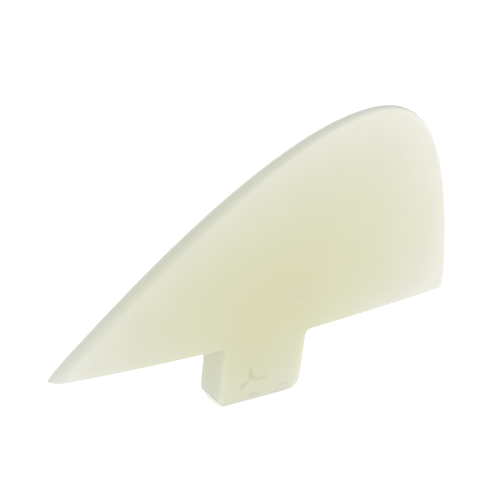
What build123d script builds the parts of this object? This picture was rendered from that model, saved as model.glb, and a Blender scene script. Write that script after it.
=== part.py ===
from build123d import *
import math
import os

# Paddleboard fin, moulded in one piece: a swept, foiled blade on a single tab.
# Frame: origin on the blade's flat base at the middle of the tab, +X aft, +Y to port, +Z up the blade.
# All sizes are in millimetres and all angles in degrees.

# Blade outline, seen from the side
blade_length = 118.3        # along the base, from the leading tip to the heel
blade_height = 55.5         # base to the crest, the highest point
crest_from_tip = 88.0       # measured aft from the leading tip
sweep_angle = 41.0          # leading edge to the base, at the tip
heel_rake = 6.5             # trailing edge to the upright, at the heel
tip_pull = 13.8             # how far the outline holds its direction from the tip
crest_pull_fore = 31.8      # the same from the crest, forward
crest_pull_aft = 16.8       # from the crest, aft
heel_pull = 39.7            # from the heel, upward

# Blade thickness
edge_radius_tip = 2.0       # roundness of the blade's edge at the leading tip
edge_radius_mid = 2.2       # half way up the leading edge
edge_radius_crest = 1.2     # at the crest
edge_radius_tail = 1.0      # down the trailing edge
tip_root_thickness = 6.7    # what the faces widen towards, below the leading tip
heel_root_thickness = 2.1   # the same below the heel
tail_fullness = 1.1         # above 1 the faces stay fuller just aft of the tab

# Tab
tab_from_tip = 46.9         # leading end of the tab, measured aft from the leading tip
tab_length = 26.3
tab_thickness = 9.2
tab_depth = 16.8
tab_draft = 0.5             # each side and end leans in by this angle, going down
tab_nose_corner = 2.3       # bottom corner at the leading end, seen from the side
tab_tail_corner = 2.7       # bottom corner at the trailing end
tab_nose_round = 0.8        # upright edges at the leading end
tab_tail_round = 4.2        # upright edges at the trailing end
tab_rim_round = 0.8         # long bottom edges
root_fillet = 2.5           # tab to base, at the trailing end only

# How the two are built
skirt_depth = 8.0           # the blade is lofted this far below its base and cut off there
skirt_run = 2.5             # the outline's straight run below the base, at both ends
fan_tip = 5.0               # where the first section lands on the skirt, aft of the tip
fan_crest = 80.0            # where the section through the crest lands
fan_heel = 10.2             # where the last section lands, ahead of the heel
flush_margin = 0.18         # on the skirt the blade's faces stand this much proud of the tab's
plateau_lead = 3.0          # they reach that this far ahead of the tab
face_pull = 0.35            # how far the faces hold their direction, as a share of their run
circle_pull = 0.5523        # the same for a quarter circle, as a share of its radius
fore_steps = 14             # sections from tip to crest
aft_steps = 10              # sections from crest to heel
round_stations = (0.0, 0.3, 0.6, 0.85)                          # where the section's edge curve is read
face_stations = (0.02, 0.05, 0.1, 0.18, 0.3, 0.45, 0.7, 1.0)    # and its face curve, closest near the edge
root_sink = 0.05            # the root fillet starts this far inside the blade
end_flat = 0.2              # half the flat left between the tab's two trailing rounds, at least
stub_height = 0.5           # the tab runs this far up into the blade
root_steps = (0, 8, 18, 30, 45, 60, 75)
corner_steps = (0, 20, 38, 50, 62, 72, 80, 86, 90)
straight_steps = 7

tab_half = tab_thickness / 2
tab_x0 = -tab_length / 2
tab_x1 = tab_length / 2
tip_x = tab_x0 - tab_from_tip
heel_x = tip_x + blade_length
crest_x = tip_x + crest_from_tip
root_half = tab_half + flush_margin


def ramp(value, marks):
    """Straight-line interpolation through (position, size) pairs."""
    for (p0, s0), (p1, s1) in zip(marks, marks[1:]):
        if value <= p1:
            return s0 + (s1 - s0) * (value - p0) / (p1 - p0)
    return marks[-1][1]


def bezier_point(points, t):
    """The point at t on the cubic Bezier curve with these four flat control points."""
    u = 1 - t
    weights = (u**3, 3 * u * u * t, 3 * u * t * t, t**3)
    return tuple(sum(w * p[axis] for w, p in zip(weights, points)) for axis in (0, 1))


def outline_curves():
    """The blade's outline in the middle plane: tip to crest, then crest to heel."""
    sweep = math.radians(sweep_angle)
    rake = math.radians(heel_rake)
    crest = (crest_x, 0, blade_height)
    fore = Bezier(
        (tip_x, 0, 0),
        (tip_x + tip_pull * math.cos(sweep), 0, tip_pull * math.sin(sweep)),
        (crest_x - crest_pull_fore, 0, blade_height),
        crest,
    )
    aft = Bezier(
        crest,
        (crest_x + crest_pull_aft, 0, blade_height),
        (heel_x - heel_pull * math.sin(rake), 0, heel_pull * math.cos(rake)),
        (heel_x, 0, 0),
    )
    return fore, aft


def root_half_at(x):
    """Half thickness that the blade's faces widen to, down on the skirt, at x."""
    plateau_start = tab_x0 - plateau_lead
    if x < plateau_start:
        share = (x - tip_x) / (plateau_start - tip_x)
        return tip_root_thickness / 2 + (root_half - tip_root_thickness / 2) * share
    if x > tab_x1:
        share = (x - tab_x1) / (heel_x - tab_x1)
        return root_half - (root_half - heel_root_thickness / 2) * share**tail_fullness
    return root_half


def edge_radius_at(place):
    """Roundness of the blade's edge, at a place from 0 at the tip to 1 at the heel."""
    marks = (
        (0.0, edge_radius_tip),
        (0.25, edge_radius_mid),
        (0.5, edge_radius_crest),
        (0.75, edge_radius_tail),
        (1.0, edge_radius_tail),
    )
    return ramp(place, marks)


def landing_at(place):
    """Where on the skirt the section from this place of the outline lands."""
    return ramp(place, ((0.0, tip_x + fan_tip), (0.5, tip_x + fan_crest), (1.0, heel_x - fan_heel)))


def blade_section(edge_point, tangent, place):
    """One closed section of the blade, in an upright plane that holds the Y direction.

    It starts at a point of the outline, rounds the edge and widens down to the skirt.
    """
    run = Vector(landing_at(place), 0, -skirt_depth) - edge_point
    length = run.length
    down = run.normalized()
    inward = Vector(tangent.Z, 0, -tangent.X).normalized()
    radius = edge_radius_at(place)
    nose = radius / down.dot(inward)
    half = root_half_at(landing_at(place))
    slope = (half - radius) / (length - nose)
    reach = (length - nose) * face_pull
    edge_round = (
        (0, 0),
        (0, circle_pull * radius),
        (nose * (1 - circle_pull), radius - slope * nose * circle_pull),
        (nose, radius),
    )
    face = ((nose, radius), (nose + reach, radius + slope * reach), (length - reach, half), (length, half))
    port = [bezier_point(edge_round, t) for t in round_stations]
    port += [bezier_point(face, t) for t in face_stations]
    starboard = [(along, -across) for along, across in port]
    profile = port[:0:-1] + starboard
    points = [edge_point + down * along + Vector(0, across, 0) for along, across in profile]
    outline = Spline(*points, tangents=[down * -1, down])
    foot = Line(points[-1], points[0])
    return Face(Wire([outline, foot]))


def blade():
    """The foiled blade, cut off flat at the base."""
    fore, aft = outline_curves()
    sections = [blade_section(fore @ 0 - (fore % 0) * skirt_run, fore % 0, 0.0)]
    for step in range(fore_steps):
        t = step / fore_steps
        sections.append(blade_section(fore @ t, fore % t, t / 2))
    for step in range(aft_steps + 1):
        t = step / aft_steps
        sections.append(blade_section(aft @ t, aft % t, (1 + t) / 2))
    sections.append(blade_section(aft @ 1 + (aft % 1) * skirt_run, aft % 1, 1.0))
    below = Box(
        2 * blade_length,
        2 * tab_thickness,
        2 * skirt_depth,
        align=(Align.CENTER, Align.CENTER, Align.MAX),
    )
    return loft(sections) - below


def pull_in(depth, radius):
    """How far a round of this radius has pulled in, at this depth into it."""
    depth = max(0.0, min(depth, radius))
    return radius - math.sqrt(radius**2 - depth**2)


def tab_section(z):
    """The tab's level section at height z: a rectangle with its four corners rounded."""
    depth = -z
    lean = math.tan(math.radians(tab_draft)) * depth
    nose = tab_x0 + lean + pull_in(depth - tab_depth + tab_nose_corner, tab_nose_corner)
    tail = tab_x1 - lean - pull_in(depth - tab_depth + tab_tail_corner, tab_tail_corner)
    tail += pull_in(root_fillet - root_sink - depth, root_fillet)
    half = tab_half - max(lean, 0) - pull_in(depth - tab_depth + tab_rim_round, tab_rim_round)
    outline = Pos((nose + tail) / 2, 0, z) * Rectangle(tail - nose, 2 * half)
    outline = fillet(outline.vertices().group_by(Axis.X)[0], tab_nose_round)
    return fillet(outline.vertices().group_by(Axis.X)[-1], min(tab_tail_round, half - end_flat))


def tab_levels():
    """Heights of the tab's sections: down the root fillet, the straight run and the bottom corners."""
    levels = [root_sink - root_fillet * (1 - math.cos(math.radians(a))) for a in root_steps]
    top = root_sink - root_fillet
    low = tab_tail_corner - tab_depth
    levels += [top + (low - top) * step / straight_steps for step in range(straight_steps)]
    levels += [low - tab_tail_corner * math.sin(math.radians(a)) for a in corner_steps]
    return levels


def tab():
    """The tab that goes into the fin box, with its root fillet and its stub inside the blade."""
    body = loft([tab_section(z) for z in tab_levels()])
    stub = extrude(tab_section(root_sink), amount=stub_height)
    return body + stub


def fin():
    """Blade and tab as one moulding."""
    return blade() + tab()


os.makedirs("parts", exist_ok=True)
export_step(fin(), "parts/fin.step")
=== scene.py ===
import math
from operator import mul

import bmesh
import bpy
from mathutils import Matrix, Vector


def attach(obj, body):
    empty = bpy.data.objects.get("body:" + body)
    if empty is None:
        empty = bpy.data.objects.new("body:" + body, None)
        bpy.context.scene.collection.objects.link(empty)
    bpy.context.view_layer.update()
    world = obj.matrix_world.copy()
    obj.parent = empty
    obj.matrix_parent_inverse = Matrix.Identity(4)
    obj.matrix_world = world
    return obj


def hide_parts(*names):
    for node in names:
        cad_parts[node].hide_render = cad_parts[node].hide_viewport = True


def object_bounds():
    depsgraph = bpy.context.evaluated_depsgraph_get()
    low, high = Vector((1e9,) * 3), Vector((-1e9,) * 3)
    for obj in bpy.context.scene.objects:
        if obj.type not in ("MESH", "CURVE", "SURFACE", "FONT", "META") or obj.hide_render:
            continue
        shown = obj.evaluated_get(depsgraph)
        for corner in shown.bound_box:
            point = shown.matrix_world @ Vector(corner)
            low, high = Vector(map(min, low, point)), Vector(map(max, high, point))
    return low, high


bl_info = {
    "name": "Paddleboard Fin",
    "version": (1, 0, 0),
    "blender": (4, 5, 0),
    "location": "3D View > Sidebar > Fin",
    "description": "Models a moulded paddleboard fin and sets up its studio",
    "category": "Object",
}

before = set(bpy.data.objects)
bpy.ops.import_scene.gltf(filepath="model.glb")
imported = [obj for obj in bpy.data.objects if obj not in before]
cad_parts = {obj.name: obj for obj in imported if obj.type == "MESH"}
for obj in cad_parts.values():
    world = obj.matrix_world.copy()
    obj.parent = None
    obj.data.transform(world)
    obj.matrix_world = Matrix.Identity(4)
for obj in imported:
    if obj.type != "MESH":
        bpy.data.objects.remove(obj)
cad_low, cad_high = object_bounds()

MM = 0.001
CIRCLE_PULL = 0.5523    # how far a quarter circle's curve holds its direction, as a share of its radius
HALVINGS = 30           # steps when a place on a curve is looked for by halving

# How finely the blade is drawn
COLUMNS = 420           # sections round its outline
CLUSTER = 0.9           # how strongly they crowd at both ends, where the outline meets the base
EDGE_ROWS = 14          # rows over its rounded edge, on each face
FACE_ROWS = 40          # rows down each face, from the edge to the base
RIM_ROWS = 5            # rows round the base's rim
BASE_ROWS = 4           # rows from the rim to the base's middle line
FOLD_MERGE = 0.002 * MM    # points of the folded sheet this close together become one

# How finely the tab is drawn
CORNER_STEP = 6         # degrees from loop to loop, up its bottom corners
SIDE_LOOPS = 14         # loops up its straight part
FILLET_STEP = 10        # degrees from loop to loop, up its root fillet
NOSE_FLAT_POINTS = 3    # along half of its leading end
NOSE_POINTS = 8         # round each leading edge
SIDE_POINTS = 24        # along each side
TAIL_POINTS = 16        # round each trailing edge
TAIL_FLAT = 0.2 * MM    # half the flat left between the two trailing rounds, at least

# How tab and blade are joined
SKIN_LOW = 0.5 * MM     # the blade's faces are read at these two heights and carried on below the base
SKIN_HIGH = 1.5 * MM
LEDGE = 0.003 * MM      # the stub stands this proud of the blade, so the two can be joined
JOIN_MERGE = 0.015 * MM    # points this close become one; about 1 run in 4 still leaves an open edge
SMOOTH_UP_TO = 35       # degrees; a sharper edge than this stays sharp

# How the depth of plastic is blurred and coloured
BLUR_CELLS = 6          # cells to one spread
BLUR_REACH = 3          # the blur is cut off at this many spreads
DEPTHS = (0.6 * MM, 1.7 * MM, 2.6 * MM, 3.6 * MM)    # of the four colours, thin to thick

# Marks on the side that faces -Y, as (x, z) in millimetres
HAIRLINE = (
    ((-4.32, -9.70), (-4.75, -8.6), (-4.98, -7.26)),
    ((-4.32, -9.70), (-2.48, -10.94), (-0.45, -10.87)),
    ((-4.32, -9.70), (-5.45, -11.16), (-6.67, -11.91)),
)
HAIR_REACH = 0.85 * MM    # how far from its middle the hairline fades out
HAIR_STRENGTH = 0.8
SHAKE = 0.4 * MM          # how far noise moves the outlines of the marks, at most half of this each way
SPECKS = (    # radius in millimetres and depth as a share, after the place
    (-6.67, -11.91, 0.95, 1.0),
    (-4.40, -9.80, 1.05, 0.8),
    (-0.30, -10.80, 0.6, 0.7),
    (-7.04, -13.25, 0.35, 0.7),
    (7.54, 9.78, 0.32, 0.9),
)
SCUFFED = ((5.4, 3.8, -15.0, 1.4), (-3.2, 1.8, -15.2, 0.8))    # middle and reach along x, then along z

FLOOR_SIZE = 8
LAMP_SIZE = 0.35
LAMP_AIM = Vector((0, 0, 0.02))
SENSOR_WIDTH = 36


def linear(hex_colour):
    """An sRGB hex colour as linear red, green, blue and alpha."""
    out = []
    for k in (1, 3, 5):
        c = int(hex_colour[k:k + 2], 16) / 255
        out.append(c / 12.92 if c <= 0.04045 else ((c + 0.055) / 1.055) ** 2.4)
    return (*out, 1.0)


def node(tree, kind, links=None, **settings):
    """Adds one node. Settings are its properties; links maps inputs to a socket or a value."""
    made = tree.nodes.new(kind)
    for key, value in settings.items():
        setattr(made, key, value)
    for key, value in (links or {}).items():
        if isinstance(value, bpy.types.NodeSocket):
            tree.links.new(value, made.inputs[key])
        else:
            made.inputs[key].default_value = value
    return made


def length(name, description, millimetres):
    """A setting that is a length."""
    return bpy.props.FloatProperty(
        name=name, description=description, default=millimetres * MM, precision=5, unit="LENGTH"
    )


def angle(name, description, degrees):
    """A setting that is an angle."""
    return bpy.props.FloatProperty(
        name=name, description=description, default=math.radians(degrees), subtype="ANGLE"
    )


def share(name, description, value):
    """A setting from 0 to 1."""
    return bpy.props.FloatProperty(
        name=name, description=description, default=value, min=0, max=1, subtype="FACTOR"
    )


def colour(name, description, value):
    """A setting that is a colour, given as sRGB hex."""
    return bpy.props.FloatVectorProperty(
        name=name, description=description, subtype="COLOR", size=4, min=0, max=1, default=linear(value)
    )


def power(name, description, watts):
    """A setting that is a lamp's power."""
    return bpy.props.FloatProperty(name=name, description=description, default=watts, min=0)


class BladeShape(bpy.types.PropertyGroup):
    """Sizes of the blade."""

    long: length("Length", "Along the base, from the leading tip to the heel", 118.3)
    tall: length("Height", "From the base to the crest", 55.5)
    crest_from_tip: length("Crest", "How far aft of the leading tip the crest is", 88.0)
    sweep: angle("Sweep", "Leading edge to the base, at the tip", 41.0)
    rake: angle("Heel rake", "Trailing edge to the upright, at the heel", 6.5)
    tip_pull: length("Tip pull", "How far the outline holds its direction from the tip", 14.3)
    crest_pull_fore: length("Crest pull, fore", "The same from the crest, forward", 31.8)
    crest_pull_aft: length("Crest pull, aft", "The same from the crest, aft", 17.15)
    heel_pull: length("Heel pull", "The same from the heel, upward", 39.7)
    nib_pull: share("Nib pull", "Below 0.55 the tip is more pointed, seen from below", 0.15)
    tip_blunt: length("Blunt tip", "How far the tip is drawn in where it meets the base", 0.35)
    heel_blunt: length("Blunt heel", "The same at the heel", 0.5)
    blunt_height: length("Blunt height", "How far up both are drawn in", 5.5)
    edge_nib: length("Edge at the very tip", "Roundness of the edge where it meets the base", 2.2)
    edge_tip: length("Edge by the tip", "Roundness of the edge just above the leading tip", 2.15)
    edge_mid: length("Edge half way up", "Roundness of the edge half way up the leading edge", 2.2)
    edge_crest: length("Edge at the crest", "Roundness of the edge at the crest", 1.2)
    edge_tail: length("Trailing edge", "Roundness of the edge down the trailing side", 1.0)
    tip_half: length("Half thickness, tip", "What the faces widen towards below the tip", 3.35)
    root_half: length("Half thickness, tab", "The same along the tab", 4.78)
    heel_half: length("Half thickness, heel", "The same below the heel", 1.05)
    tail_fullness: bpy.props.FloatProperty(
        name="Tail fullness", description="Above 1 the faces stay fuller aft of the tab", default=1.1, min=0.5
    )
    face_pull: share("Face pull", "How far the faces hold their direction, of their run", 0.35)
    skirt: length("Skirt", "How far below the base the faces would go on widening", 8.0)
    fan_tip: length("Fan, tip", "Where the first section lands, aft of the tip", 5.0)
    fan_crest: length("Fan, crest", "Where the section through the crest lands, aft of the tip", 80.0)
    fan_heel: length("Fan, heel", "Where the last section lands, ahead of the heel", 10.2)
    rim: length("Base rim", "Roundness of the blade's bottom edge", 0.3)


class TabShape(bpy.types.PropertyGroup):
    """Sizes of the tab."""

    from_tip: length("From the tip", "Leading end of the tab, aft of the leading tip", 46.9)
    long: length("Length", "Along the base", 26.3)
    thick: length("Thickness", "Across the blade", 9.2)
    deep: length("Depth", "How far it hangs below the base", 16.8)
    draft: angle("Draft", "How far each side leans in", 0.5)
    nose_corner: length("Nose corner", "Bottom corner at the leading end", 2.3)
    tail_corner: length("Tail corner", "Bottom corner at the trailing end", 2.7)
    nose_round: length("Nose round", "Upright edges at the leading end", 0.55)
    tail_round: length("Tail round", "Upright edges at the trailing end", 4.2)
    rim: length("Rim", "Long bottom edges", 0.8)
    root_fillet: length("Root fillet", "Tab to base, at the trailing end", 2.5)
    lead: length("Plateau lead", "The blade is full this far ahead of the tab", 3.0)
    stub: length("Stub", "How far the tab runs up into the blade", 0.45)
    blend: length("Blend", "Over this depth the tab's sides go from the blade's faces to their own", 6.0)


class FinFinish(bpy.types.PropertyGroup):
    """Colours and finish of the fin."""

    # The yellow of the thick colours is the plastic's own; the thin colours are also paler and brighter, as
    # painted light for light coming through.
    thick: colour("Thick", "Where the plastic is thickest", "#DFDEBC")
    deep: colour("Deep", "Where there is a little less", "#E1E1C5")
    light: colour("Light", "Where there is half as much", "#E4E4D0")
    thin: colour("Thin", "Where there is little and light comes through", "#EBEAE0")
    spread: length("Spread", "How far light travels inside the plastic", 10.0)
    # Painted light: the tab's aft half and the blade's foot aft of it are coloured as if thinner, so paler
    # and brighter.
    painted_pale_end: length("Pale end", "How much thinner the tab's aft half looks than it is", 0.6)
    roughness: share("Roughness", "How matt the moulded skin is", 0.5)
    gloss: share("Gloss", "How strongly the skin mirrors light", 0.35)
    translucence: share("Translucence", "How much light travels inside the plastic", 0.5)
    # Painted shade: how much the edges facing aft, down and up are darkened, and how much they and the tab's
    # leading end are greyed.
    painted_edge_shade: share("Rim shade", "How much darker the edges are, at most", 0.2)
    painted_edge_grey: share("Rim grey", "How much less yellow the edges and the tab's leading end are, at most", 0.3)
    mark_shade: share("Mark shade", "How much darker the hairline and the specks are", 0.14)
    scuff_shade: share("Scuff shade", "How much darker the scuffs on the tab's foot are", 0.11)


class StageSettings(bpy.types.PropertyGroup):
    """The camera, floor and lamps."""

    azimuth: angle("Azimuth", "Camera direction round the fin", -37.45)
    elevation: angle("Elevation", "Camera height above the horizon", 26.86)
    roll: angle("Roll", "Camera turn about its own axis", 6.63)
    lens: bpy.props.FloatProperty(
        name="Lens", description="Focal length in millimetres on a 36 mm sensor", default=147.67, min=1
    )
    place: bpy.props.FloatVectorProperty(
        name="Camera place",
        description="Where the camera stands",
        default=(-0.27168, -0.34716, 0.24486),
        subtype="TRANSLATION",
        unit="LENGTH",
    )
    floor_colour: colour("Floor", "The plain floor", "#F4F4F4")
    floor_glow: share("Floor glow", "Light that only the eye sees, so the lit floor is white", 0.42)
    sky: share("Sky", "Strength of the light from all round", 0.615)
    sky_colour: colour("Sky colour", "Its colour", "#FCFFFF")
    left_colour: colour("Left lamp", "Colour of the lamp in front on the left", "#FFFFFA")
    left_power: power("Left lamp", "Power of the lamp in front on the left, in watts", 1.22)
    right_colour: colour("Right lamp", "Colour of the lamp off the heel", "#FFF6FF")
    right_power: power("Right lamp", "Power of the lamp off the heel, in watts", 1.75)
    back_colour: colour("Back lamp", "Colour of the lamp behind the fin", "#FFFFFF")
    back_power: power("Back lamp", "Power of the lamp behind the fin, in watts", 0.9)


def ramp(value, marks):
    """Straight-line interpolation through (place, size) pairs."""
    for (p0, s0), (p1, s1) in zip(marks, marks[1:]):
        if value <= p1:
            return s0 + (s1 - s0) * (value - p0) / (p1 - p0)
    return marks[-1][1]


def curve_point(points, t):
    """The flat point at t on the cubic curve with these four control points."""
    u = 1 - t
    weights = (u * u * u, 3 * u * u * t, 3 * u * t * t, t * t * t)
    return tuple(sum(w * p[axis] for w, p in zip(weights, points)) for axis in (0, 1))


def curve_direction(points, t):
    """The direction there."""
    u = 1 - t
    steps = [Vector(b) - Vector(a) for a, b in zip(points, points[1:])]
    return (u * u * steps[0] + 2 * u * t * steps[1] + t * t * steps[2]).normalized()


def curve_place(points, along):
    """Looks by halving for the t at which the curve's first coordinate reaches this value.

    Gives the last t tried, and the nearest one known to be far enough.
    """
    low, high = 0.0, 1.0
    for _ in range(HALVINGS):
        t = (low + high) / 2
        low, high = (t, high) if curve_point(points, t)[0] < along else (low, t)
    return t, high


class Foil:
    """Works out points of the blade's skin from its sizes. Flat points are (x, z)."""

    def __init__(self, blade, tab):
        self.blade = blade
        self.tab_x0 = -tab.long / 2
        self.tab_x1 = tab.long / 2
        self.lead = tab.lead
        self.tip_x = self.tab_x0 - tab.from_tip
        self.heel_x = self.tip_x + blade.long
        crest = Vector((self.tip_x + blade.crest_from_tip, blade.tall))
        tip = Vector((self.tip_x, 0))
        heel = Vector((self.heel_x, 0))
        self.fore = (
            tip,
            tip + blade.tip_pull * Vector((math.cos(blade.sweep), math.sin(blade.sweep))),
            crest - Vector((blade.crest_pull_fore, 0)),
            crest,
        )
        self.aft = (
            crest,
            crest + Vector((blade.crest_pull_aft, 0)),
            heel + blade.heel_pull * Vector((-math.sin(blade.rake), math.cos(blade.rake))),
            heel,
        )

    def outline(self, place):
        """A point of the outline and its direction; place goes from 0 at the tip to 1 at the heel.

        Near the base the tip and the heel are drawn in, by a share that grows with the square.
        """
        points, t = (self.fore, 2 * place) if place < 0.5 else (self.aft, 2 * place - 1)
        spot, direction = Vector(curve_point(points, t)), curve_direction(points, t)
        blunt = self.blade.tip_blunt if place < 0.5 else -self.blade.heel_blunt
        near = max(0.0, 1 - spot.y / self.blade.blunt_height)
        lean = 2 * near / self.blade.blunt_height * direction.y
        spot.x += blunt * near * near
        direction.x -= blunt * lean
        return spot, direction.normalized()

    def root_half(self, x):
        """Half thickness the faces widen towards, down on the skirt."""
        tip_half, full, heel_half = self.blade.tip_half, self.blade.root_half, self.blade.heel_half
        start = self.tab_x0 - self.lead
        if x < start:
            return tip_half + (full - tip_half) * (x - self.tip_x) / (start - self.tip_x)
        if x > self.tab_x1:
            gone = (x - self.tab_x1) / (self.heel_x - self.tab_x1)
            return full - (full - heel_half) * gone**self.blade.tail_fullness
        return full

    def section(self, place):
        """The section from this place of the outline: its start, its way down and its two curves."""
        blade = self.blade
        start, direction = self.outline(place)
        landing = ramp(
            place,
            (
                (0.0, self.tip_x + blade.fan_tip),
                (0.5, self.tip_x + blade.fan_crest),
                (1.0, self.heel_x - blade.fan_heel),
            ),
        )
        run = Vector((landing, -blade.skirt)) - start
        whole = run.length
        down = run.normalized()
        inward = Vector((direction.y, -direction.x))
        radius = ramp(
            place,
            (
                (0.0, blade.edge_nib),
                (0.08, blade.edge_tip),
                (0.25, blade.edge_mid),
                (0.5, blade.edge_crest),
                (0.75, blade.edge_tail),
                (1.0, blade.edge_tail),
            ),
        )
        nose = radius / down.dot(inward)
        half = self.root_half(landing)
        slope = (half - radius) / (whole - nose)
        reach = (whole - nose) * blade.face_pull
        pull = ramp(place, ((0.0, blade.nib_pull), (0.05, CIRCLE_PULL), (1.0, CIRCLE_PULL)))
        edge = (
            (0, 0),
            (0, pull * radius),
            (nose * (1 - CIRCLE_PULL), radius - slope * nose * CIRCLE_PULL),
            (nose, radius),
        )
        face = ((nose, radius), (nose + reach, radius + slope * reach), (whole - reach, half), (whole, half))
        return start, down, edge, face

    def column(self, place):
        """Points of one section, from the edge down to the base, each as x, half thickness and z."""
        start, down, edge, face = self.section(place)
        rim = self.blade.rim
        nose = face[0][0]
        to_rim = max(start.y - rim, 0) / -down.y

        def at(along):
            """This far along, and how far across the skin is there."""
            points = edge if along < nose else face
            _, reached = curve_place(points, along)
            return along, curve_point(points, reached)[1]

        flat = []
        for k in range(EDGE_ROWS + 1):
            p = curve_point(edge, k / EDGE_ROWS)
            flat.append(p if p[0] < to_rim else at(to_rim))
        end, _ = curve_place(face, to_rim)
        for k in range(1, FACE_ROWS + 1):
            flat.append(curve_point(face, end * k / FACE_ROWS) if to_rim > nose else flat[EDGE_ROWS])
        top = min(start.y, rim)
        for k in range(1, RIM_ROWS + 1):
            z = rim * (1 - math.sin(math.radians(90 * k / RIM_ROWS)))
            flat.append(at((start.y - min(z, top)) / -down.y))
        spots = [(start + down * along, across) for along, across in flat]
        return [(spot.x, across, max(spot.y, 0.0)) for spot, across in spots]


def deselect():
    """Leaves nothing selected."""
    bpy.ops.object.select_all(action="DESELECT")


def clustered(u):
    """Moves columns towards both ends, where the outline meets the base."""
    return u - CLUSTER * math.sin(2 * math.pi * u) / (2 * math.pi)


def pull_in(depth, radius):
    """How far a round of this radius has pulled in, at this depth into it."""
    depth = max(0.0, min(depth, radius))
    return radius - math.sqrt(radius**2 - depth**2)


def make_blade(foil, blade):
    """The blade: a sheet folded over its edge, closed along the middle of its base."""
    to_foot = EDGE_ROWS + FACE_ROWS + RIM_ROWS
    rows = to_foot + BASE_ROWS
    deselect()
    bpy.ops.mesh.primitive_grid_add(x_subdivisions=COLUMNS, y_subdivisions=2 * rows, size=1)
    made = bpy.context.object
    columns = [foil.column(clustered(k / COLUMNS)) for k in range(COLUMNS + 1)]
    feet = [Vector(column[to_foot][:2]) for column in columns]
    outward = []
    for k in range(COLUMNS + 1):
        run = feet[min(k + 1, COLUMNS)] - feet[max(k - 1, 0)]
        outward.append(Vector((-run.y, run.x)).normalized())
    outward[0], outward[-1] = Vector((-1, 0)), Vector((1, 0))
    for vertex in made.data.vertices:
        column = round((vertex.co.x + 0.5) * COLUMNS)
        row = round(vertex.co.y * 2 * rows)
        x, y, z = columns[column][min(abs(row), to_foot)]
        inset = pull_in(blade.rim - z, blade.rim)
        x -= inset * outward[column].x
        y = max(y - inset * outward[column].y, 0)
        y *= 1 - max(abs(row) - to_foot, 0) / BASE_ROWS
        vertex.co = (x, y if row > 0 else -y, z)
    bpy.ops.object.mode_set(mode="EDIT")
    bpy.ops.mesh.select_all(action="SELECT")
    bpy.ops.mesh.remove_doubles(threshold=FOLD_MERGE)
    bpy.ops.mesh.normals_make_consistent(inside=False)
    bpy.ops.object.mode_set(mode="OBJECT")
    return made


def tab_levels(tab):
    """Heights of the tab's loops, from its bottom up."""
    levels = []
    for degrees in range(0, 91, CORNER_STEP):
        levels.append(-tab.deep + tab.tail_corner * (1 - math.cos(math.radians(degrees))))
    low, top = levels[-1], -tab.root_fillet
    levels += [low + (top - low) * k / SIDE_LOOPS for k in range(1, SIDE_LOOPS + 1)]
    for degrees in range(FILLET_STEP, 91, FILLET_STEP):
        levels.append(-tab.root_fillet * (1 - math.sin(math.radians(degrees))))
    levels.append(tab.stub)
    return levels


def tab_loop(tab, z):
    """Points of the tab's level section, from the middle of its leading end, the port side first."""
    depth = -z
    lean = math.tan(tab.draft) * max(depth, 0)
    nose = -tab.long / 2 + lean + pull_in(depth - tab.deep + tab.nose_corner, tab.nose_corner)
    tail = tab.long / 2 - lean - pull_in(depth - tab.deep + tab.tail_corner, tab.tail_corner)
    tail += pull_in(tab.root_fillet - max(depth, 0), tab.root_fillet)
    half = tab.thick / 2 - lean - pull_in(depth - tab.deep + tab.rim, tab.rim)
    round_nose = tab.nose_round
    round_tail = min(tab.tail_round, half - TAIL_FLAT)
    points = [(nose, (half - round_nose) * k / NOSE_FLAT_POINTS) for k in range(NOSE_FLAT_POINTS)]
    for k in range(NOSE_POINTS + 1):
        a = math.radians(90 * k / NOSE_POINTS)
        points.append((nose + round_nose * (1 - math.cos(a)), half - round_nose + round_nose * math.sin(a)))
    start, end = nose + round_nose, tail - round_tail
    points += [(start + (end - start) * k / SIDE_POINTS, half) for k in range(1, SIDE_POINTS)]
    for k in range(TAIL_POINTS + 1):
        a = math.radians(90 * k / TAIL_POINTS)
        points.append((end + round_tail * math.sin(a), half - round_tail * (1 - math.cos(a))))
    points.append((tail, 0.0))
    return points + [(x, -y) for x, y in points[-2:0:-1]]


def make_tab(tab, blade_object):
    """The tab: its bottom loop extruded up level by level, its sides flush with the blade's faces."""
    half = tab.thick / 2

    def skin(x, z):
        """How far out the blade's face is here, if there is one."""
        hit, spot, _, _ = blade_object.ray_cast(Vector((x, -1, z)), Vector((0, 1, 0)))
        return -spot.y if hit else None

    def flush(x, y, z):
        """Moves a point of the loop out, so that the tab's side carries on the blade's face."""
        low, high = skin(x, SKIN_LOW), skin(x, SKIN_HIGH)
        if low is None or high is None:
            return y
        rise = (high - low) / (SKIN_HIGH - SKIN_LOW)
        if z > 0:
            return y * (1 + (low + rise * (z - SKIN_LOW) - half + LEDGE) / half)
        fade = 1.0
        if z < 0:
            fade = max(0.0, 1 + z / tab.blend)
            fade = fade * fade * (3 - 2 * fade)
        return y * (1 + fade * (low - rise * SKIN_LOW - half + LEDGE) / half)

    levels = tab_levels(tab)
    count = len(tab_loop(tab, levels[0]))
    deselect()
    bpy.ops.mesh.primitive_circle_add(vertices=count, radius=1, fill_type="NGON", location=(0, 0, 0))
    made = bpy.context.object
    turn = made.data.attributes.new("turn", "INT", "POINT")
    for vertex in made.data.vertices:
        turn.data[vertex.index].value = vertex.index
    bpy.ops.object.mode_set(mode="EDIT")
    bpy.ops.mesh.select_mode(type="VERT")
    for step, z in enumerate(levels):
        if step:
            bpy.ops.mesh.extrude_region_move(TRANSFORM_OT_translate={"value": (0, 0, z - levels[step - 1])})
        bm = bmesh.from_edit_mesh(made.data)
        layer = bm.verts.layers.int["turn"]
        loop = tab_loop(tab, z)
        for v in bm.verts:
            if v.select:
                x, y = loop[v[layer]]
                v.co = (x, flush(x, y, z), z)
        bmesh.update_edit_mesh(made.data)
    bpy.ops.mesh.select_all(action="SELECT")
    bpy.ops.mesh.normals_make_consistent(inside=False)
    bpy.ops.object.mode_set(mode="OBJECT")
    made.data.attributes.remove(made.data.attributes["turn"])
    return made


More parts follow.
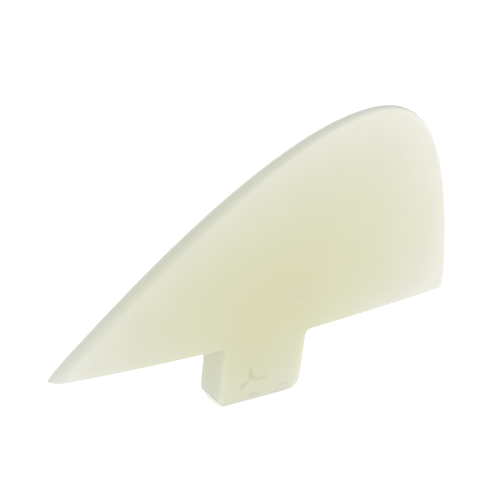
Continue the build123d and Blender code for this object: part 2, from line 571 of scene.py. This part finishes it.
def write_depth(mesh, reach):
    """Gives each point the half thickness of the plastic round it, blurred in the side view."""
    cell = reach / BLUR_CELLS
    far = BLUR_REACH * BLUR_CELLS
    xs = [vertex.co.x for vertex in mesh.vertices]
    zs = [vertex.co.z for vertex in mesh.vertices]
    low_x, low_z = min(xs) - cell, min(zs) - cell
    wide, high = (math.ceil((max(a) - min(a)) / cell) + 3 for a in (xs, zs))
    cells = [[0.0] * wide for _ in range(high)]

    def around(x, z):
        """The four cells round this place, each with its share."""
        across, up = (x - low_x) / cell, (z - low_z) / cell
        i, j = int(up), int(across)
        a, b = up - i, across - j
        yield i, j, (1 - a) * (1 - b)
        yield i, j + 1, (1 - a) * b
        yield i + 1, j, a * (1 - b)
        yield i + 1, j + 1, a * b

    # Both faces give their share of the volume between them, so half of the sum is the half thickness.
    for face in mesh.polygons:
        heap = face.area * abs(face.normal.y * face.center.y) / (2 * cell * cell)
        for i, j, part in around(face.center.x, face.center.z):
            cells[i][j] += heap * part
    bell = [math.exp(-0.5 * (k / BLUR_CELLS) ** 2) for k in range(-far, far + 1)]
    whole = sum(bell)

    # Each pass blurs along the rows and turns the grid over, so the second pass blurs the other way.
    for _ in range(2):
        blurred = []
        for row in cells:
            padded = [0.0] * far + row + [0.0] * far
            blurred.append([sum(map(mul, bell, padded[k:])) / whole for k in range(len(row))])
        cells = [list(column) for column in zip(*blurred)]
    depth = mesh.attributes.new("depth", "FLOAT", "POINT")
    for vertex in mesh.vertices:
        depth.data[vertex.index].value = sum(
            cells[i][j] * part for i, j, part in around(vertex.co.x, vertex.co.z)
        )


def facing_way(tree, facing, way, low, high, most):
    """How much the skin faces this way, from none at the low cosine to the most at the high one."""
    cosine = node(tree, "ShaderNodeVectorMath", {0: facing, 1: way}, operation="DOT_PRODUCT")
    turned = node(
        tree,
        "ShaderNodeMapRange",
        {"Value": cosine.outputs["Value"], "From Min": low, "From Max": high, "To Max": most},
        interpolation_type="SMOOTHSTEP",
    )
    return turned.outputs[0]


def blemishes(tree, place, front):
    """How strong the marks are: the hairline with its three arms, and the specks."""
    flat = node(tree, "ShaderNodeVectorMath", {0: place, 1: (1, 0, 1)}, operation="MULTIPLY")
    noise = node(tree, "ShaderNodeTexNoise", {"Vector": place, "Scale": 900.0, "Detail": 2.0})
    middle = node(
        tree,
        "ShaderNodeVectorMath",
        {0: noise.outputs["Color"], 1: (0.5, 0.5, 0.5)},
        operation="SUBTRACT",
    )
    shaken = node(
        tree,
        "ShaderNodeVectorMath",
        {0: middle.outputs[0], 1: (SHAKE, 0, SHAKE), 2: flat.outputs[0]},
        operation="MULTIPLY_ADD",
    ).outputs[0]
    mark = 0.0
    for arm in HAIRLINE:
        for start, end in zip(arm, arm[1:]):
            run = Vector((end[0] - start[0], 0, end[1] - start[1])) * MM
            origin = Vector((start[0], 0, start[1])) * MM
            off = node(tree, "ShaderNodeVectorMath", {0: shaken, 1: origin}, operation="SUBTRACT")
            along = node(
                tree,
                "ShaderNodeVectorMath",
                {0: off.outputs[0], 1: run / run.length_squared},
                operation="DOT_PRODUCT",
            )
            held = node(tree, "ShaderNodeClamp", {"Value": along.outputs["Value"]})
            foot = node(tree, "ShaderNodeVectorMath", {0: run, "Scale": held.outputs[0]}, operation="SCALE")
            gap = node(
                tree, "ShaderNodeVectorMath", {0: off.outputs[0], 1: foot.outputs[0]}, operation="DISTANCE"
            )
            hair = node(
                tree,
                "ShaderNodeMapRange",
                {
                    "Value": gap.outputs["Value"],
                    "From Max": HAIR_REACH,
                    "To Min": HAIR_STRENGTH,
                    "To Max": 0.0,
                },
                interpolation_type="SMOOTHSTEP",
            )
            mark = node(tree, "ShaderNodeMath", {0: mark, 1: hair.outputs[0]}, operation="MAXIMUM").outputs[0]
    for x, z, radius, depth in SPECKS:
        centre = Vector((x, 0, z)) * MM
        gap = node(tree, "ShaderNodeVectorMath", {0: shaken, 1: centre}, operation="DISTANCE")
        pit = node(
            tree,
            "ShaderNodeMapRange",
            {
                "Value": gap.outputs["Value"],
                "From Min": 0.4 * radius * MM,
                "From Max": 1.2 * radius * MM,
                "To Min": depth,
                "To Max": 0.0,
            },
            interpolation_type="SMOOTHSTEP",
        )
        mark = node(tree, "ShaderNodeMath", {0: mark, 1: pit.outputs[0]}, operation="MAXIMUM").outputs[0]
    return node(tree, "ShaderNodeMath", {0: mark, 1: front}, operation="MULTIPLY").outputs[0]


def scuffs(tree, place, front):
    """How strong the small scuffs along the tab's foot are, in two stretches of the same side."""
    fleck = node(
        tree, "ShaderNodeTexNoise", {"Vector": place, "Scale": 1300.0, "Detail": 3.0, "Roughness": 0.6}
    )
    worn = node(
        tree,
        "ShaderNodeMapRange",
        {"Value": fleck.outputs["Fac"], "From Min": 0.44, "From Max": 0.62},
        interpolation_type="SMOOTHSTEP",
    )
    stretches = 0.0
    for middle_x, reach_x, middle_z, reach_z in SCUFFED:
        scaled = node(
            tree,
            "ShaderNodeVectorMath",
            {
                0: place,
                1: (1 / (reach_x * MM), 0, 1 / (reach_z * MM)),
                2: (-middle_x / reach_x, 0, -middle_z / reach_z),
            },
            operation="MULTIPLY_ADD",
        )
        away = node(tree, "ShaderNodeVectorMath", {0: scaled.outputs[0]}, operation="LENGTH")
        patch = node(
            tree,
            "ShaderNodeMapRange",
            {"Value": away.outputs["Value"], "From Min": 0.5, "From Max": 1.1, "To Min": 1.0, "To Max": 0.0},
            interpolation_type="SMOOTHSTEP",
        )
        stretches = node(
            tree, "ShaderNodeMath", {0: stretches, 1: patch.outputs[0]}, operation="MAXIMUM"
        ).outputs[0]
    there = node(tree, "ShaderNodeMath", {0: stretches, 1: front}, operation="MULTIPLY")
    strength = node(
        tree, "ShaderNodeMath", {0: there.outputs[0], 1: worn.outputs[0]}, operation="MULTIPLY"
    )
    return strength.outputs[0]


def depth_tint(tree, split, finish):
    """The plastic's colour by how much of it lies round a point.

    The less there is, the less yellow is left; the paler, brighter colour there is also painted light,
    standing in for white light that comes through. Painted light also makes the tab's aft half paler,
    and the blade's foot from there aft, as if light came in at the tab's trailing end.
    """
    around = node(tree, "ShaderNodeAttribute", attribute_name="depth")
    aftward = node(
        # Painted light: the depth is counted as less over the tab's aft half and the blade's foot aft of it,
        # so they come out paler.
        tree,
        "ShaderNodeMapRange",
        {"Value": split.outputs["X"], "From Min": -8 * MM, "From Max": 8 * MM},
        interpolation_type="SMOOTHSTEP",
    )
    downward = node(
        tree,
        "ShaderNodeMapRange",
        {"Value": split.outputs["Z"], "From Min": 8 * MM, "From Max": -4 * MM, "To Max": -finish.painted_pale_end},
        interpolation_type="SMOOTHSTEP",
    )
    looks = node(
        tree,
        "ShaderNodeMath",
        {0: aftward.outputs[0], 1: downward.outputs[0], 2: around.outputs["Fac"]},
        operation="MULTIPLY_ADD",
    )
    thinnest, thickest = DEPTHS[0], DEPTHS[-1]
    scaled = node(
        tree, "ShaderNodeMapRange", {"Value": looks.outputs[0], "From Min": thinnest, "From Max": thickest}
    )
    tint = node(tree, "ShaderNodeValToRGB", {"Fac": scaled.outputs[0]})
    stops = tint.color_ramp.elements
    stops[0].color = finish.thin
    stops[1].color = finish.thick
    for at, shade in ((DEPTHS[1], finish.light), (DEPTHS[2], finish.deep)):
        stops.new((at - thinnest) / (thickest - thinnest)).color = shade
    return tint.outputs["Color"]


def moulded_plastic(finish):
    """Natural nylon, injection moulded: pale, faintly yellow in its depth, satin skin."""
    material = bpy.data.materials.new("moulded_nylon")
    material.use_nodes = True
    tree = material.node_tree
    tree.nodes.clear()
    coordinates = node(tree, "ShaderNodeTexCoord")
    place = coordinates.outputs["Object"]
    split = node(tree, "ShaderNodeSeparateXYZ", {"Vector": place})
    tint = depth_tint(tree, split, finish)

    # Painted shade: the skin is darkened by which way it faces, most of all at the aft shoulder and trailing
    # edges, and less on the undersides, the tab's tail and the upward-facing leading edge and crest.
    # The same painted shade takes some yellow out of these edges. The tab's leading end is greyer only.
    facing = coordinates.outputs["Normal"]
    aft = facing_way(tree, facing, (0.7, 0, 0.71), 0.3, 0.9, 1.0)
    under = facing_way(tree, facing, (0.7, 0, -0.7), 0.2, 0.9, 0.5)
    fore = facing_way(tree, facing, (-0.1, 0, 1.0), 0.05, 0.6, 0.4)
    nose = facing_way(tree, facing, (-1.0, 0, 0), 0.6, 1.0, 0.7)
    edges = node(tree, "ShaderNodeMath", {0: aft, 1: under}, operation="MAXIMUM").outputs[0]
    rim = node(tree, "ShaderNodeMath", {0: edges, 1: fore}, operation="MAXIMUM").outputs[0]
    grey = node(tree, "ShaderNodeMath", {0: edges, 1: nose}, operation="MAXIMUM").outputs[0]

    # Faint cloudiness from the flow of the melt, in patches of about 9 mm.
    cloud = node(
        tree, "ShaderNodeTexNoise", {"Vector": place, "Scale": 110.0, "Detail": 3.0, "Roughness": 0.55}
    )
    value = node(
        tree,
        "ShaderNodeMapRange",
        {"Value": cloud.outputs["Fac"], "From Min": 0.3, "From Max": 0.7, "To Min": 0.99, "To Max": 1.008},
    ).outputs[0]

    # A branched hairline and a few specks on one side, and scuffs along the tab's foot.
    front = node(tree, "ShaderNodeMath", {0: split.outputs["Y"], 1: 0.0}, operation="LESS_THAN").outputs[0]
    mark = blemishes(tree, place, front)
    scuff = scuffs(tree, place, front)
    # The colour is darkened by the painted edge shade, and by the real marks and scuffs.
    for dimmed, most in ((rim, finish.painted_edge_shade), (mark, finish.mark_shade), (scuff, finish.scuff_shade)):
        kept = node(tree, "ShaderNodeMath", {0: dimmed, 1: -most, 2: 1.0}, operation="MULTIPLY_ADD")
        value = node(tree, "ShaderNodeMath", {0: value, 1: kept.outputs[0]}, operation="MULTIPLY").outputs[0]
    # Painted shade: the edges and the tab's leading end are made less yellow.
    purity = node(tree, "ShaderNodeMath", {0: grey, 1: -finish.painted_edge_grey, 2: 1.0}, operation="MULTIPLY_ADD")
    skin = node(
        tree, "ShaderNodeHueSaturation", {"Saturation": purity.outputs[0], "Value": value, "Color": tint}
    )

    # The mould's fine spark-eroded grain, drawn at 0.5 mm, coarser than real, so that it shows,
    # over a slow waviness of about 8 mm. The marks are sunk a little into both.
    grain = node(tree, "ShaderNodeTexNoise", {"Vector": place, "Scale": 2000.0, "Detail": 2.0})
    wave = node(tree, "ShaderNodeTexNoise", {"Vector": place, "Scale": 125.0, "Detail": 1.0})
    grained = node(
        tree, "ShaderNodeBump", {"Strength": 0.5, "Distance": 0.012 * MM, "Height": grain.outputs["Fac"]}
    )
    waved = node(
        tree,
        "ShaderNodeBump",
        {"Strength": 0.5, "Distance": 0.06 * MM, "Height": wave.outputs["Fac"], "Normal": grained.outputs[0]},
    )
    sunk = node(tree, "ShaderNodeMath", {0: mark, 1: scuff}, operation="MAXIMUM").outputs[0]
    relief = node(
        tree,
        "ShaderNodeBump",
        {"Strength": 1.0, "Distance": 0.05 * MM, "Height": sunk, "Normal": waved.outputs[0]},
        invert=True,
    )

    # The skin is satin, a little uneven, and duller on the marks and scuffs.
    patchy = node(
        tree,
        "ShaderNodeMapRange",
        {
            "Value": cloud.outputs["Fac"],
            "From Min": 0.3,
            "From Max": 0.7,
            "To Min": finish.roughness - 0.05,
            "To Max": finish.roughness + 0.05,
        },
    )
    dull = node(tree, "ShaderNodeMath", {0: sunk, 1: 0.2, 2: patchy.outputs[0]}, operation="MULTIPLY_ADD")

    shader = node(
        tree,
        "ShaderNodeBsdfPrincipled",
        {
            "Base Color": skin.outputs["Color"],
            "Roughness": dull.outputs[0],
            "IOR": 1.53,
            "Specular IOR Level": finish.gloss,
            "Subsurface Weight": finish.translucence,
            "Subsurface Radius": (1.0, 1.0, 0.8),
            "Subsurface Scale": 2.5 * MM,
            "Normal": relief.outputs[0],
        },
    )
    node(tree, "ShaderNodeOutputMaterial", {"Surface": shader.outputs[0]})
    return material


class MESH_OT_fin_moulding(bpy.types.Operator):
    """Models the fin as one moulding: the foiled blade, and the tab joined to it"""

    bl_idname = "mesh.fin_moulding"
    bl_label = "Model the fin"

    def execute(self, context):
        scene = context.scene
        foil = Foil(scene.fin_blade, scene.fin_tab)
        blade = make_blade(foil, scene.fin_blade)
        tab = make_tab(scene.fin_tab, blade)
        deselect()
        blade.select_set(True)
        context.view_layer.objects.active = blade
        join = blade.modifiers.new("join", "BOOLEAN")
        join.operation = "UNION"
        join.solver = "EXACT"
        join.object = tab
        bpy.ops.object.modifier_apply(modifier=join.name)
        bpy.data.objects.remove(tab)
        bpy.ops.object.mode_set(mode="EDIT")
        bpy.ops.mesh.select_all(action="SELECT")
        bpy.ops.mesh.remove_doubles(threshold=JOIN_MERGE)
        bpy.ops.mesh.normals_make_consistent(inside=False)
        bpy.ops.object.mode_set(mode="OBJECT")
        bpy.ops.object.shade_smooth_by_angle(angle=math.radians(SMOOTH_UP_TO))
        write_depth(blade.data, scene.fin_finish.spread)
        blade.name = "fin_moulding"
        blade.data.materials.clear()
        blade.data.materials.append(moulded_plastic(scene.fin_finish))
        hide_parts("fin")
        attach(blade, "root")
        return {"FINISHED"}


def sight_rays(tree):
    """Is 1 for what is seen, straight, mirrored or through glass, and 0 for light that falls on things."""
    ray = node(tree, "ShaderNodeLightPath")
    seen = ray.outputs["Is Camera Ray"]
    for kind in ("Is Glossy Ray", "Is Transmission Ray"):
        seen = node(tree, "ShaderNodeMath", {0: seen, 1: ray.outputs[kind]}, operation="MAXIMUM").outputs[0]
    return seen


def pale_floor(stage):
    """Matt white paper: it takes the fin's shadow, and glows for the eye alone, so that it is white."""
    material = bpy.data.materials.new("pale_floor")
    material.use_nodes = True
    tree = material.node_tree
    tree.nodes.clear()
    matt = node(tree, "ShaderNodeBsdfDiffuse", {"Color": stage.floor_colour})
    dark = node(tree, "ShaderNodeEmission", {"Strength": 0.0})
    glow = node(tree, "ShaderNodeEmission", {"Strength": stage.floor_glow})
    lit = {0: sight_rays(tree), 1: dark.outputs[0], 2: glow.outputs[0]}
    seen = node(tree, "ShaderNodeMixShader", lit)
    both = node(tree, "ShaderNodeAddShader", {0: matt.outputs[0], 1: seen.outputs[0]})
    node(tree, "ShaderNodeOutputMaterial", {"Surface": both.outputs[0]})
    return material


def make_sky(stage):
    """Even light from all round, which is plain white to the eye."""
    world = bpy.data.worlds.new("studio")
    bpy.context.scene.world = world
    world.use_nodes = True
    tree = world.node_tree
    tree.nodes.clear()
    sky = node(tree, "ShaderNodeBackground", {"Color": stage.sky_colour, "Strength": stage.sky})
    white = node(tree, "ShaderNodeBackground", {"Color": (1, 1, 1, 1), "Strength": 1.0})
    either = {0: sight_rays(tree), 1: sky.outputs[0], 2: white.outputs[0]}
    pick = node(tree, "ShaderNodeMixShader", either)
    node(tree, "ShaderNodeOutputWorld", {"Surface": pick.outputs[0]})


def make_lamp(name, place, watts, shade):
    """A square soft lamp, turned towards the middle of the fin."""
    data = bpy.data.lights.new(name, "AREA")
    data.shape = "SQUARE"
    data.size = LAMP_SIZE
    data.energy = watts
    data.color = shade[:3]
    made = bpy.data.objects.new(name, data)
    bpy.context.scene.collection.objects.link(made)
    made.location = place
    made.rotation_mode = "QUATERNION"
    made.rotation_quaternion = (LAMP_AIM - Vector(place)).to_track_quat("-Z", "Y")


def make_camera(stage):
    """The photo's camera, from its place, its direction round the fin and its roll."""
    data = bpy.data.cameras.new("camera")
    data.lens = stage.lens
    data.sensor_width = SENSOR_WIDTH
    data.clip_start = 0.01
    data.clip_end = 20
    camera = bpy.data.objects.new("camera", data)
    bpy.context.scene.collection.objects.link(camera)
    az, el, roll = stage.azimuth, stage.elevation, stage.roll
    back = Vector((math.sin(az) * math.cos(el), -math.cos(az) * math.cos(el), math.sin(el)))
    right = Vector((0, 0, 1)).cross(back).normalized()
    up = back.cross(right)
    turned_right = math.cos(roll) * right + math.sin(roll) * up
    turned_up = math.cos(roll) * up - math.sin(roll) * right
    turn = Matrix((turned_right, turned_up, back)).transposed().to_4x4()
    camera.matrix_world = Matrix.Translation(stage.place) @ turn
    bpy.context.scene.camera = camera


class MESH_OT_fin_stage(bpy.types.Operator):
    """Sets up the floor, the lamps and the camera"""

    bl_idname = "mesh.fin_stage"
    bl_label = "Set the stage"

    def execute(self, context):
        stage = context.scene.fin_stage
        deselect()
        bpy.ops.mesh.primitive_plane_add(size=FLOOR_SIZE, location=(0, 0, cad_low.z))
        floor = context.object
        floor.name = "floor"
        bpy.ops.object.transform_apply(location=True, rotation=True, scale=True)
        floor.data.materials.append(pale_floor(stage))
        make_sky(stage)
        make_lamp("left_lamp", (-0.45, -0.40, 0.12), stage.left_power, stage.left_colour)
        make_lamp("right_lamp", (0.58, -0.20, 0.10), stage.right_power, stage.right_colour)
        make_lamp("back_lamp", (0.10, 0.60, 0.20), stage.back_power, stage.back_colour)
        make_camera(stage)
        context.scene.view_settings.view_transform = "Standard"
        return {"FINISHED"}


class VIEW3D_PT_fin(bpy.types.Panel):
    """Lists the fin's settings and steps"""

    bl_label = "Paddleboard Fin"
    bl_idname = "VIEW3D_PT_fin"
    bl_space_type = "VIEW_3D"
    bl_region_type = "UI"
    bl_category = "Fin"

    def draw(self, context):
        for name in GROUPS:
            group = getattr(context.scene, name)
            for key in group.__annotations__:
                self.layout.prop(group, key)
        self.layout.operator("mesh.fin_moulding")
        self.layout.operator("mesh.fin_stage")


GROUPS = {"fin_blade": BladeShape, "fin_tab": TabShape, "fin_finish": FinFinish, "fin_stage": StageSettings}
CLASSES = (*GROUPS.values(), MESH_OT_fin_moulding, MESH_OT_fin_stage, VIEW3D_PT_fin)


def register():
    for each in CLASSES:
        bpy.utils.register_class(each)
    for name, group in GROUPS.items():
        setattr(bpy.types.Scene, name, bpy.props.PointerProperty(type=group))


def unregister():
    for name in GROUPS:
        delattr(bpy.types.Scene, name)
    for each in reversed(CLASSES):
        bpy.utils.unregister_class(each)


def main():
    register()
    bpy.ops.mesh.fin_moulding()
    bpy.ops.mesh.fin_stage()


if __name__ == "__main__":
    main()
